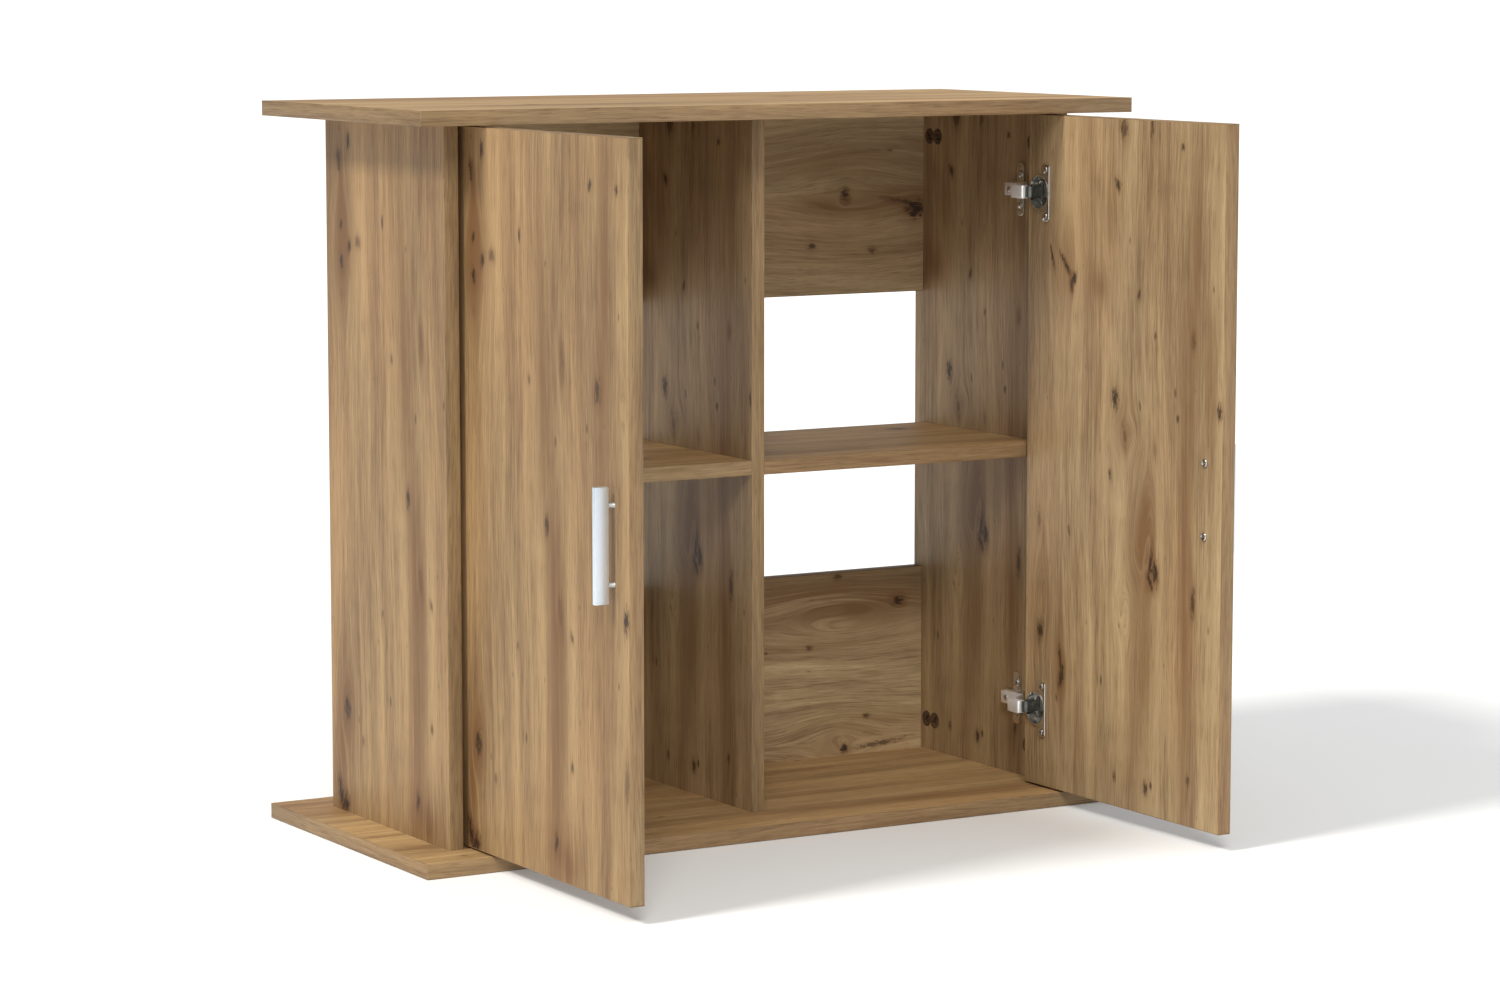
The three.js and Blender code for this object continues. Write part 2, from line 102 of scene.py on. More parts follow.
class Graph:
    """A node tree built by calls, most of which return an output socket."""

    def __init__(self, tree):
        self.tree = tree

    def feed(self, socket, value):
        if isinstance(value, bpy.types.NodeSocket):
            self.tree.links.new(value, socket)
        else:
            socket.default_value = value

    def add(self, kind, inputs=None, **settings):
        node = self.tree.nodes.new(kind)
        for name, value in settings.items():
            setattr(node, name, value)
        for key, value in (inputs or {}).items():
            self.feed(node.inputs[key], value)
        return node

    def math(self, operation, *values, clamp=False):
        node = self.add("ShaderNodeMath", operation=operation, use_clamp=clamp)
        for socket, value in zip(node.inputs, values):
            self.feed(socket, value)
        return node.outputs[0]

    def vector(self, operation, *values):
        node = self.add("ShaderNodeVectorMath", operation=operation)
        for socket, value in zip(node.inputs, values):
            self.feed(socket, value)
        return node.outputs["Value" if operation in ("LENGTH", "DOT_PRODUCT") else "Vector"]

    def noise(self, place, stretch, detail=2.0, roughness=0.5, dimensions="2D"):
        """Noise with that many features a metre along each axis."""
        stretched = self.vector("MULTIPLY", place, stretch)
        return self.add(
            "ShaderNodeTexNoise",
            {
                "Vector": stretched,
                "Scale": 1.0,
                "Detail": detail,
                "Roughness": roughness,
            },
            noise_dimensions=dimensions,
        ).outputs[0]

    def span(self, value, from_low, from_high, to_low=0.0, to_high=1.0):
        """A smooth step from one range to another."""
        return self.add(
            "ShaderNodeMapRange",
            {
                "Value": value,
                "From Min": from_low,
                "From Max": from_high,
                "To Min": to_low,
                "To Max": to_high,
            },
            interpolation_type="SMOOTHSTEP",
        ).outputs[0]

    def ramp(self, value, stops):
        node = self.add("ShaderNodeValToRGB", {"Fac": value})
        elements = node.color_ramp.elements
        while len(elements) < len(stops):
            elements.new(0.5)
        for element, (position, colour) in zip(elements, stops):
            element.position = position
            element.color = colour
        return node.outputs[0]

    def mix(self, factor, first, second, blend="MIX"):
        node = self.add("ShaderNodeMix", data_type="RGBA", blend_type=blend)
        self.feed(node.inputs["Factor"], factor)
        self.feed(node.inputs[6], first)
        self.feed(node.inputs[7], second)
        return node.outputs[2]

    def bump(self, height, strength, distance):
        return self.add(
            "ShaderNodeBump", {"Height": height, "Strength": strength, "Distance": distance}
        ).outputs[0]


def new_material(name, **fixed):
    """A material with a Principled shader whose sockets are set to the fixed values."""
    material = bpy.data.materials.new(name)
    material.use_nodes = True
    graph = Graph(material.node_tree)
    shader = material.node_tree.nodes["Principled BSDF"]
    for key, value in fixed.items():
        shader.inputs[key.replace("_", " ")].default_value = value
    return material, graph, shader


# ---------------------------------------------------------------- oak laminate

# The looked-for colours as sRGB.
OAK_DARK = (133, 103, 71)
OAK_MIDDLE = (171, 140, 100)
OAK_LIGHT = (196, 164, 119)
OAK_STAIN = (130, 93, 58)
OAK_KNOT = (58, 40, 26)

# Each print multiplies them by its own cast, which paints light and shade into the laminate's colour: the
# outer faces get the copy for direct light, the inner, lying and back prints are painted lighter (the inner
# and back ones also bluer) as painted light on the faces inside the cabinet and on top of the boards, and
# the edge
# print is painted darker and greyer as painted shade on the front-facing edges. The real laminate is one
# colour:
# the casts were fitted to this scene's light, so that the faces lit mostly by other wood don't look too
# yellow.
OUTER_LIT_CAST = (0.695, 0.685, 0.65)
INNER_PAINTED_LIGHT_CAST = (0.86, 0.93, 1.02)
LYING_PAINTED_LIGHT_CAST = (0.96, 0.95, 0.89)
BACK_PAINTED_LIGHT_CAST = (1.00, 1.14, 1.32)
EDGE_PAINTED_SHADE_CAST = (0.60, 0.60, 0.60)

SWAY = 0.034  # metres from one side to the other that the grain wanders across the sheet
RAGGED = 2.2  # how far a knot's edge is broken up, as a share of its own reach


def knot_group():
    """One mark in the print: it bends the grain round itself, and adds to the dark and stained parts.

    Marks carries how far the grain is bent in x, the dark part in y and the stained part in z. Each mark
    finds the flat sheet again from what the last one gives, so that they are worked out one by one."""
    tree = bpy.data.node_groups.new("oak_knot", "ShaderNodeTree")
    vectors = ("Place", "Marks", "Centre", "Spread")
    numbers = ("Tilt", "Pull", "Core", "Stain")
    for name in vectors:
        tree.interface.new_socket(name=name, in_out="INPUT", socket_type="NodeSocketVector")
    for name in numbers:
        tree.interface.new_socket(name=name, in_out="INPUT", socket_type="NodeSocketFloat")
    for name in ("Place", "Marks"):
        tree.interface.new_socket(name=name, in_out="OUTPUT", socket_type="NodeSocketVector")
    graph = Graph(tree)
    given = graph.add("NodeGroupInput").outputs
    sheet = graph.vector("ADD", given["Place"], graph.vector("MULTIPLY", given["Marks"], (1.0, 0.0, 0.0)))
    away = graph.vector("SUBTRACT", sheet, given["Centre"])
    turned = graph.add(
        "ShaderNodeVectorRotate",
        {"Vector": away, "Angle": given["Tilt"]},
        rotation_type="Z_AXIS",
    ).outputs[0]
    reach = graph.vector("LENGTH", graph.vector("MULTIPLY", turned, given["Spread"]))
    halo = graph.math("EXPONENT", graph.math("MULTIPLY", graph.math("MULTIPLY", reach, reach), -1.0))
    ragged = graph.noise(sheet, (460.0, 120.0, 0.0), detail=3.0, roughness=0.7)
    ragged = graph.math("MULTIPLY_ADD", ragged, RAGGED, -RAGGED / 2)
    core = graph.span(graph.math("ADD", reach, ragged), 0.95, 0.2)
    core = graph.math("MULTIPLY", core, given["Core"])
    pulled = graph.add("ShaderNodeCombineXYZ", {"X": graph.math("MULTIPLY", halo, given["Pull"])}).outputs[0]
    shift = graph.vector("MULTIPLY", away, pulled)
    stain = graph.math("MULTIPLY", halo, given["Stain"])
    shade = graph.add("ShaderNodeCombineXYZ", {"Y": core, "Z": stain}).outputs[0]
    taken = graph.add("NodeGroupOutput")
    graph.feed(taken.inputs["Place"], graph.vector("SUBTRACT", given["Place"], shift))
    graph.feed(taken.inputs["Marks"], graph.vector("ADD", graph.vector("ADD", given["Marks"], shift), shade))
    return tree


KNOT_GROUP = knot_group()


def oak(name, marks, cast):
    """Printed oak on the sheet's own coordinates, with its marks as (across, along, half width, half
    length, tilt in degrees, pull, core, stain), the lengths in millimetres. The cast scales the print's
    colours as painted light or shade."""
    material, graph, shader = new_material(name, Roughness=0.5, Specular_IOR_Level=0.35)
    sheet = graph.add("ShaderNodeUVMap", uv_map=SHEET).outputs[0]
    place = sheet
    found = (0.0, 0.0, 0.0)
    for across, along, width, length, tilt, pull, core, stain in sorted(marks, key=lambda mark: mark[5]):
        node = graph.add("ShaderNodeGroup", node_tree=KNOT_GROUP)
        values = {
            "Place": place,
            "Marks": found,
            "Centre": (across * MM, along * MM, 0.0),
            "Spread": (1 / (width * MM), 1 / (length * MM), 0.0),
            "Tilt": math.radians(-tilt),
            "Pull": pull,
            "Core": core,
            "Stain": stain,
        }
        for key, value in values.items():
            graph.feed(node.inputs[key], value)
        place = node.outputs["Place"]
        found = node.outputs["Marks"]
    sway = graph.noise(sheet, (5.0, 1.3, 0.0), detail=2.0)
    sway = graph.math("MULTIPLY_ADD", sway, SWAY, -SWAY / 2)
    place = graph.vector("ADD", place, graph.add("ShaderNodeCombineXYZ", {"X": sway}).outputs[0])

    # From the widest streaks to the finest: features a metre across and along, share of the tone.
    streaks = (
        (15.0, 1.1, 1.0 if marks else 0.4),
        (46.0, 2.6, 0.5),
        (150.0, 6.0, 0.36),
        (430.0, 13.0, 0.46),
        (1000.0, 30.0, 0.42),
    )
    tone = 0.5
    for across, along, part in streaks:
        layer = graph.noise(place, (across, along, 0.0), detail=2.0, roughness=0.65)
        tone = graph.math("ADD", tone, graph.math("MULTIPLY_ADD", layer, part, -part / 2))
    stops = ((0.20, OAK_DARK), (0.50, OAK_MIDDLE), (0.80, OAK_LIGHT))
    colour = graph.ramp(tone, [(position, linear(shade, cast)) for position, shade in stops])
    blush = graph.noise(sheet, (9.0, 1.2, 0.0), detail=1.0)
    warm = graph.mix(1.0, colour, (1.03, 0.975, 0.95, 1.0), "MULTIPLY")
    colour = graph.mix(graph.span(blush, 0.42, 0.62), colour, warm)
    pores = graph.noise(place, (1100.0, 38.0, 0.0), detail=2.0)
    open_pores = graph.span(pores, 0.54, 0.70)
    shaded = graph.mix(1.0, colour, (0.76, 0.73, 0.70, 1.0), "MULTIPLY")
    colour = graph.mix(open_pores, colour, shaded)

    if marks:
        parts = graph.add("ShaderNodeSeparateXYZ", {"Vector": found})
        veins = graph.noise(place, (120.0, 3.0, 0.0), detail=3.0, roughness=0.7)
        veined = graph.span(veins, 0.25, 0.6, 0.4, 1.4)
        stained = graph.math("MULTIPLY", parts.outputs["Z"], veined, clamp=True)
        colour = graph.mix(stained, colour, linear(OAK_STAIN, cast))
        cells = graph.add(
            "ShaderNodeTexVoronoi",
            {"Vector": graph.vector("MULTIPLY", place, (15.0, 5.5, 0.0)), "Scale": 1.0},
            voronoi_dimensions="2D",
        )
        size = graph.add("ShaderNodeSeparateColor", {"Color": cells.outputs["Color"]}).outputs[0]
        size = graph.math("MULTIPLY_ADD", graph.math("POWER", size, 3.0), 0.022, 0.004)
        inside = graph.math("SUBTRACT", size, cells.outputs["Distance"])
        specks = graph.span(inside, -0.016, 0.012, 0.0, 0.6)
        dark = graph.math("MAXIMUM", parts.outputs["Y"], specks, clamp=True)
        colour = graph.mix(dark, colour, linear(OAK_KNOT, cast))
    graph.feed(shader.inputs["Base Color"], colour)

    # The pressed grain has its own noise on the flat sheet, because a bump works its height out three times.
    pressed = graph.noise(sheet, (700.0, 22.0, 0.0), detail=2.0, roughness=0.6)
    graph.feed(shader.inputs["Normal"], graph.bump(pressed, 0.18, 0.15 * MM))
    graph.feed(shader.inputs["Roughness"], graph.math("MULTIPLY_ADD", pressed, 0.16, 0.44))
    return material


# The upright print with knots down its left side, on the outer faces.
PRINT_OUTER = (
    (38, 640, 20, 120, 0, 0.2, 0, 0.55),
    (36, 590, 22, 62, 0, 1.25, 0, 0.35),
    (53, 692, 5, 12, 0, 0.5, 0.9, 0.4),
    (30, 673, 6, 14, 8, 0.5, 0.9, 0.5),
    (34, 608, 5, 9, 0, 0.5, 0.9, 0.3),
    (53, 588, 6, 10, -10, 0.5, 0.8, 0.4),
    (35, 572, 6, 12, 6, 0.5, 1, 0.5),
    (72, 593, 8, 9, 0, 1.0, 0.5, 0.4),
    (129, 616, 3, 9, 0, 0.3, 0.7, 0.2),
    (267, 668, 4, 8, 0, 0.5, 0.9, 0.3),
    (317, 665, 4, 7, 0, 0.5, 0.8, 0.3),
    (147, 483, 4, 8, 0, 0.5, 0.5, 0.3),
    (280, 482, 8, 16, 0, 0.6, 0.8, 0.7),
    (212, 505, 7, 30, 4, 0.7, 0.25, 0.6),
    (178, 500, 15, 170, 2, 0.1, 0, 0.62),
    (292, 560, 14, 210, -1, 0.1, 0, 0.6),
    (328, 470, 12, 40, 0, 1.1, 0, 0.2),
    (181, 349, 6, 12, 0, 0.5, 0.9, 0.5),
    (200, 290, 16, 90, 4, 0.3, 0, 0.6),
    (207, 270, 5, 22, 8, 0.3, 0.35, 0.4),
    (196, 130, 20, 120, -3, 0.2, 0, 0.6),
    (333, 278, 7, 16, 0, 0.5, 0.95, 0.5),
    (305, 300, 10, 140, 0, 0.1, 0, 0.5),
    (229, 250, 4, 7, 12, 0.4, 0.6, 0.3),
    (121, 228, 3, 6, 0, 0.4, 0.5, 0.2),
    (40, 125, 18, 60, 0, 1.0, 0, 0.5),
    (38, 122, 10, 17, 0, 0.6, 0.95, 0.6),
    (26, 90, 12, 70, -4, 0.2, 0, 0.55),
    (334, 130, 6, 26, 0, 0.5, 0.4, 0.5),
    (229, 128, 4, 8, 10, 0.4, 0.6, 0.3),
    (73, 93, 4, 8, 0, 0.4, 0.5, 0.2),
    (20, 34, 8, 22, 12, 0.2, 1, 0.7),
    (32, 24, 12, 14, -20, 0.2, 1, 0.8),
    (197, 52, 5, 11, 0, 0.5, 0.9, 0.5),
    (222, 34, 26, 34, 0, 0.4, 0, 0.75),
)

# The upright print with the cracked knot and the long swirl, on the inner faces.
PRINT_INNER = (
    (168, 703, 9, 14, 10, 0.8, 0.7, 0.5),
    (216, 706, 4, 16, 0, 0.3, 0.7, 0.3),
    (268, 688, 4, 6, 0, 0.5, 0.8, 0.2),
    (159, 647, 6, 10, 25, 0.5, 0.8, 0.4),
    (126, 646, 6, 20, 0, 0.4, 0.1, 0.4),
    (147, 620, 12, 34, 0, 0.4, 0, 0.5),
    (62, 562, 34, 60, 0, 0.5, 0, 0.55),
    (44, 568, 2.6, 17, 18, 0.2, 1, 0.4),
    (69, 561, 3.6, 22, 42, 0.2, 1, 0.5),
    (84, 550, 5, 9, -30, 0.2, 1, 0.5),
    (79, 540, 4, 10, 8, 0.2, 0.9, 0.5),
    (128, 544, 18, 22, 0, 0.4, 0, 0.6),
    (197, 539, 3.4, 8, 0, 0.4, 0.9, 0.3),
    (225, 500, 3, 5, 0, 0.4, 0.7, 0.2),
    (289, 500, 5, 10, 0, 0.4, 0.4, 0.4),
    (157, 433, 8, 16, 6, 0.6, 0.9, 0.6),
    (178, 399, 20, 24, 0, 1.3, 0, 0.35),
    (174, 397, 4, 16, 12, 0.4, 0.45, 0.4),
    (265, 421, 4, 6, 0, 0.5, 0.8, 0.2),
    (333, 434, 6, 12, 0, 0.5, 0.9, 0.5),
    (225, 386, 6, 16, 0, 0.4, 0.15, 0.5),
    (278, 260, 13, 330, 0, 0.1, 0, 0.62),
    (318, 470, 14, 90, 0, 0.3, 0, 0.5),
    (292, 560, 10, 150, 0, 0.2, 0, 0.45),
    (150, 355, 4, 9, 10, 0.4, 0.8, 0.3),
    (78, 290, 4, 8, 12, 0.4, 0.6, 0.3),
    (24, 295, 5, 18, 0, 0.4, 0.4, 0.4),
    (214, 326, 17, 46, 0, 1.5, 0, 0.6),
    (204, 280, 20, 40, 4, 1.35, 0, 0.5),
    (176, 220, 16, 44, 0, 1.45, 0, 0.12),
    (214, 180, 22, 90, -3, 0.4, 0, 0.5),
    (221, 272, 4, 24, -8, 0.3, 1, 0.6),
    (229, 264, 7, 16, 10, 0.3, 1, 0.7),
    (220, 254, 4, 12, 30, 0.3, 1, 0.6),
    (30, 215, 16, 60, 0, 1.2, 0, 0.45),
    (27, 180, 8, 16, 0, 0.5, 0.95, 0.6),
    (64, 155, 4, 18, 8, 0.3, 0.9, 0.6),
    (66, 136, 6, 17, -14, 0.3, 1, 0.7),
    (64, 150, 18, 60, 0, 0.4, 0, 0.5),
    (293, 240, 5, 22, 0, 0.4, 0.8, 0.5),
    (216, 44, 5, 9, 10, 0.5, 0.9, 0.4),
    (225, 49, 3, 6, 10, 0.5, 0.8, 0.3),
    (162, 47, 4, 7, 0, 0.5, 0.7, 0.3),
    (288, 63, 4, 8, 0, 0.5, 0.7, 0.3),
    (95, 60, 10, 60, 0, 0.2, 0, 0.4),
)

# The lying print. The back panels show it between their own heights, and the boards far beside that. 11 of
# the back panels' rows are points seen in the photo, turned into lengths with the fitted camera.
PRINT_LYING = (
    (620, 250, 50, 95, 0, 0.9, 0, 0.35),
    (622, 243, 9, 7, 0, 0.4, 0.9, 0.6),
    (615, 280, 13, 120, -4, 0.3, 0, 0.55),
    (603, 333, 13, 16, 0, 0.4, 1, 0.8),
    (612, 318, 4, 34, 10, 0.2, 0.6, 0.5),
    (568, 202, 5, 7, 0, 0.5, 0.8, 0.4),
    (561, 278, 5, 7, 0, 0.5, 0.6, 0.4),
    (665, 200, 22, 280, 2, 0.1, 0, 0.3),
    (590, -160, 30, 70, 0, 1.1, 0, 0.4),
    (592, -166, 8, 12, 20, 0.4, 0.9, 0.6),
    (655, -290, 6, 14, 0, 0.5, 0.8, 0.4),
    (545, -60, 5, 8, 0, 0.5, 0.8, 0.4),
    (210, 235, 5, 7, 0, 0.5, 0.7, 0.4),
    (179, 312, 7, 10, 0, 0.5, 1, 0.6),
    (166, 240, 26, 90, 0, 1.35, 0, 0.3),
    (186, 180, 30, 420, 1, 0.1, 0, 0.62),
    (135, 200, 4, 7, 0, 0.5, 0.7, 0.3),
    (136, 120, 6, 190, 1, 0.1, 0, 0.4),
    (56, 272, 4, 6, 0, 0.5, 0.8, 0.3),
    (28, 235, 34, 70, 0, 1.0, 0, 0.25),
    (22, 244, 9, 6, 0, 0.3, 1, 0.6),
    (24, 290, 4, 46, -5, 0.2, 0.7, 0.6),
    (48, 300, 10, 60, 4, 0.2, 0, 0.4),
    (110, -190, 26, 80, 0, 1.2, 0, 0.35),
    (108, -205, 7, 13, 30, 0.4, 0.9, 0.6),
    (1040, 120, 9, 14, 10, 0.5, 0.9, 0.6),
    (1035, 130, 30, 70, 0, 1.1, 0, 0.35),
    (930, -230, 7, 12, 0, 0.5, 0.9, 0.5),
    (1110, -120, 24, 260, 2, 0.1, 0, 0.5),
    (960, 60, 20, 320, -1, 0.1, 0, 0.5),
    (890, 280, 16, 200, 0, 0.1, 0, 0.5),
)

OAK_OUTER = oak("oak_outer", PRINT_OUTER, OUTER_LIT_CAST)
OAK_INNER = oak("oak_inner", PRINT_INNER, INNER_PAINTED_LIGHT_CAST)
OAK_LYING = oak("oak_lying", PRINT_LYING, LYING_PAINTED_LIGHT_CAST)
# The back print is the lying print painted lighter and bluer, as painted light on the back panels inside the
# cabinet.
OAK_BACK_PAINTED_LIGHT = oak("oak_back_painted_light", PRINT_LYING, BACK_PAINTED_LIGHT_CAST)
# The edge print is painted darker and greyer, as painted shade on the front-facing edges.
OAK_EDGE = oak("oak_edge", (), EDGE_PAINTED_SHADE_CAST)


def chipboard():
    material, graph, shader = new_material("chipboard", Roughness=0.85)
    place = graph.add("ShaderNodeTexCoord").outputs["Object"]
    chips = graph.add(
        "ShaderNodeTexVoronoi",
        {"Vector": graph.vector("MULTIPLY", place, (500.0, 900.0, 700.0)), "Scale": 1.0},
    )
    shade = graph.add("ShaderNodeSeparateColor", {"Color": chips.outputs["Color"]}).outputs[0]
    stops = ((0.1, linear((128, 98, 66))), (0.6, linear((172, 140, 98))), (0.95, linear((205, 178, 134))))
    graph.feed(shader.inputs["Base Color"], graph.ramp(shade, stops))
    graph.feed(shader.inputs["Normal"], graph.bump(shade, 0.5, 0.2 * MM))
    return material


CHIPBOARD = chipboard()


# ---------------------------------------------------------------- metal and plastic

def metal(name, colour, roughness, brush, streaks, clouded=0.15, metallic=1.0):
    """Brushed or plated metal. brush is the number of scratches a metre along each axis."""
    material, graph, shader = new_material(name, Metallic=metallic)
    place = graph.add("ShaderNodeTexCoord").outputs["Object"]
    scratch = graph.noise(place, brush, detail=3.0, roughness=0.6, dimensions="3D")
    cloud = graph.noise(place, (160.0, 160.0, 160.0), detail=3.0, dimensions="3D")
    dull = tuple(part * (1 - clouded) for part in colour[:3]) + (1.0,)
    graph.feed(shader.inputs["Base Color"], graph.mix(graph.span(cloud, 0.42, 0.68), colour, dull))
    rough = graph.math("MULTIPLY_ADD", scratch, streaks, roughness - streaks / 2)
    rough = graph.math("ADD", rough, graph.math("MULTIPLY_ADD", cloud, 0.10, -0.05))
    graph.feed(shader.inputs["Roughness"], rough)
    graph.feed(shader.inputs["Normal"], graph.bump(scratch, 0.06, 0.05 * MM))
    return material


ALUMINIUM = metal(
    "satin_aluminium", linear((226, 235, 245)), 0.42, (3200.0, 3200.0, 45.0), 0.10, 0.02, metallic=0.97,
)
NICKEL = metal("nickel", linear((226, 224, 220)), 0.20, (900.0, 900.0, 900.0), 0.08)
# Near-white nickel, only partly metallic: its diffuse white is painted reflection of the pale surroundings
# on the hinge arms and flange lips.
NICKEL_PAINTED_REFLECTION = metal(
    "nickel_painted_reflection", linear((250, 250, 252)), 0.34, (900.0, 900.0, 900.0), 0.08, 0.03, metallic=0.6,
)
DARK_STEEL = metal("dark_steel", linear((112, 116, 112)), 0.30, (1400.0, 300.0, 1400.0), 0.12)
SCREW_STEEL = metal("screw_steel", linear((218, 217, 214)), 0.24, (700.0, 2200.0, 2200.0), 0.1)


def brown_plastic():
    material, graph, shader = new_material("brown_plastic", Specular_IOR_Level=0.4)
    place = graph.add("ShaderNodeTexCoord").outputs["Object"]
    grain = graph.noise(place, (1500.0, 1500.0, 1500.0), detail=3.0, dimensions="3D")
    cloud = graph.noise(place, (90.0, 90.0, 90.0), detail=2.0, dimensions="3D")
    stops = ((0.35, linear((78, 58, 41))), (0.65, linear((96, 74, 53))))
    graph.feed(shader.inputs["Base Color"], graph.ramp(cloud, stops))
    graph.feed(shader.inputs["Roughness"], graph.math("MULTIPLY_ADD", grain, 0.25, 0.36))
    graph.feed(shader.inputs["Normal"], graph.bump(grain, 0.25, 0.08 * MM))
    return material


BROWN_PLASTIC = brown_plastic()


# ---------------------------------------------------------------- mesh helpers

def new_object(name, mesh, materials, body):
    """A finished piece from a bmesh, shaded smooth except at sharp edges, riding on its body."""
    data = bpy.data.meshes.new(name)
    mesh.to_mesh(data)
    mesh.free()
    data.shade_smooth()
    data.set_sharp_from_angle(angle=SMOOTH_UNDER)
    for material in materials:
        data.materials.append(material)
    return shown(name, data, body)


def shown(name, data, body, place=None):
    """An object for a mesh, put in the scene and on its body."""
    piece = bpy.data.objects.new(name, data)
    bpy.context.scene.collection.objects.link(piece)
    if place is not None:
        piece.matrix_world = place
    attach(piece, body)
    return piece


def body_of(node):
    return frame["nodes"][node]["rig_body"]


def box_mesh(lo, hi):
    mesh = bmesh.new()
    bmesh.ops.create_cube(mesh, size=1.0)
    centre, size = (Vector(lo) + Vector(hi)) / 2, Vector(hi) - Vector(lo)
    for vertex in mesh.verts:
        vertex.co = centre + Vector(vertex.co[i] * size[i] for i in range(3))
    return mesh


def bevel(mesh, edges, radius, segments=3):
    bmesh.ops.bevel(
        mesh, geom=list(edges), offset=radius, segments=segments, profile=0.5,
        affect="EDGES", clamp_overlap=True,
    )


def rebuilt(node):
    """A CAD node's shape as a clean bmesh, with points in the same place merged into one."""
    source = frame["nodes"][node].data
    mesh = bmesh.new()
    for vertex in source.vertices:
        mesh.verts.new(vertex.co)
    mesh.verts.ensure_lookup_table()
    for polygon in source.polygons:
        mesh.faces.new([mesh.verts[i] for i in polygon.vertices])
    bmesh.ops.remove_doubles(mesh, verts=mesh.verts, dist=SAME_PLACE)
    return mesh


def map_sheet(mesh, u_of, v_of):
    """Writes the sheet coordinates of every corner from its place."""
    layer = mesh.loops.layers.uv.new(SHEET)
    for face in mesh.faces:
        for loop in face.loops:
            place = loop.vert.co
            loop[layer].uv = (u_of(place, face), v_of(place, face))


# ---------------------------------------------------------------- boards

def core(node, thick, grain, trims, low_face, high_face):
    """A board's chipboard core with its two printed faces, cut back where edge bands go on.

    A face is (material, direction across, offset across, offset along)."""
    lo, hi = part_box(node)
    across = 3 - thick - grain
    mesh = rebuilt(node)
    for vertex in mesh.verts:
        for axis, side in trims:
            edge = hi[axis] if side > 0 else lo[axis]
            if abs(vertex.co[axis] - edge) < SAME_PLACE:
                vertex.co[axis] -= side * BAND
    mesh.normal_update()
    for face in mesh.faces:
        middle = face.calc_center_median()[thick]
        if abs(face.normal[thick]) > SQUARE_ON and abs(middle - lo[thick]) < SAME_PLACE:
            face.material_index = 0
        elif abs(face.normal[thick]) > SQUARE_ON and abs(middle - hi[thick]) < SAME_PLACE:
            face.material_index = 1
        else:
            face.material_index = 2
    faces = (low_face, high_face, low_face)
    map_sheet(
        mesh,
        lambda place, face: faces[face.material_index][1] * place[across] + faces[face.material_index][2],
        lambda place, face: place[grain] + faces[face.material_index][3],
    )
    materials = (low_face[0], high_face[0], CHIPBOARD)
    piece = new_object(node + "_core", mesh, materials, body_of(node))
    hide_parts(node)


BAND_NAMES = {
    (X, 1): "right", (X, -1): "left", (Y, 1): "rear", (Y, -1): "front", (Z, 1): "top", (Z, -1): "bottom",
}


def edge_band(node, thick, trims, number, free_ends):
    """The strip glued to one edge of a board, with its long outer edges rounded."""
    axis, side = trims[number]
    lo, hi = (Vector(corner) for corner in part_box(node))
    along = 3 - thick - axis
    for other_axis, other_side in trims[:number]:
        if other_axis == along:
            corner = hi if other_side > 0 else lo
            corner[along] -= other_side * BAND
    if side > 0:
        lo[axis] = hi[axis] - BAND
    else:
        hi[axis] = lo[axis] + BAND
    outer = hi[axis] if side > 0 else lo[axis]
    mesh = box_mesh(lo, hi)

    def rounded(edge):
        first, second = (vertex.co for vertex in edge.verts)
        on_outer = all(abs(place[axis] - outer) < SAME_PLACE for place in (first, second))
        lengthwise = abs(first[along] - second[along]) > SAME_PLACE
        return on_outer and (lengthwise or free_ends)

    bevel(mesh, [edge for edge in mesh.edges if rounded(edge)], BAND_ROUND)
    strip = sum(map(ord, node)) * 0.0137 + number * 0.31
    map_sheet(
        mesh,
        lambda place, face: place[thick] + strip + 0.5 * abs(place[axis] - outer),
        lambda place, face: place[along] + strip * 3,
    )
    name = node + "_band_" + BAND_NAMES[axis, side]
    new_object(name, mesh, (OAK_EDGE,), body_of(node))


def board(node, thick, grain, trims, low_face, high_face, free_ends=False):
    core(node, thick, grain, trims, low_face, high_face)
    for number in range(len(trims)):
        edge_band(node, thick, trims, number, free_ends)


FRONT, REAR = (Y, -1), (Y, 1)
ALL_ROUND_LYING = (FRONT, REAR, (X, -1), (X, 1))
ALL_ROUND_DOOR = ((Z, 1), (Z, -1), FRONT, REAR)


MAIN_KNOT_ACROSS = 0.221  # puts the inner print's main knot where the divider and the right panel show it


def lying(offset_across, offset_along=0.0):
    """A face with the lying print, shifted so that each board shows another stretch of it."""
    return (OAK_LYING, 1, offset_across, offset_along)


board("top_board", Z, X, ALL_ROUND_LYING, lying(1.5), lying(1.0), free_ends=True)
board("bottom_board", Z, X, ALL_ROUND_LYING, lying(1.9), lying(1.02, 0.11), free_ends=True)
# The back panels' front faces carry the painted-light copy of the lying print.
board("back_panel_upper", Y, X, ((Z, -1),), (OAK_BACK_PAINTED_LIGHT, 1, 0.0, 0.0), lying(0.05, 0.62))
board("back_panel_lower", Y, X, ((Z, 1),), (OAK_BACK_PAINTED_LIGHT, 1, 0.0, 0.0), lying(0.46, -0.55))
board("shelf_right", Z, X, (FRONT, REAR), lying(1.25, 0.3), lying(0.97, -0.16))
board("shelf_left", Z, X, (FRONT, REAR), lying(1.62, 0.1), lying(1.08, 0.22))
board(
    "divider", X, Z, (FRONT, REAR),
    (OAK_INNER, -1, MAIN_KNOT_ACROSS, 0.0), (OAK_INNER, 1, 0.1325, 0.02),
)

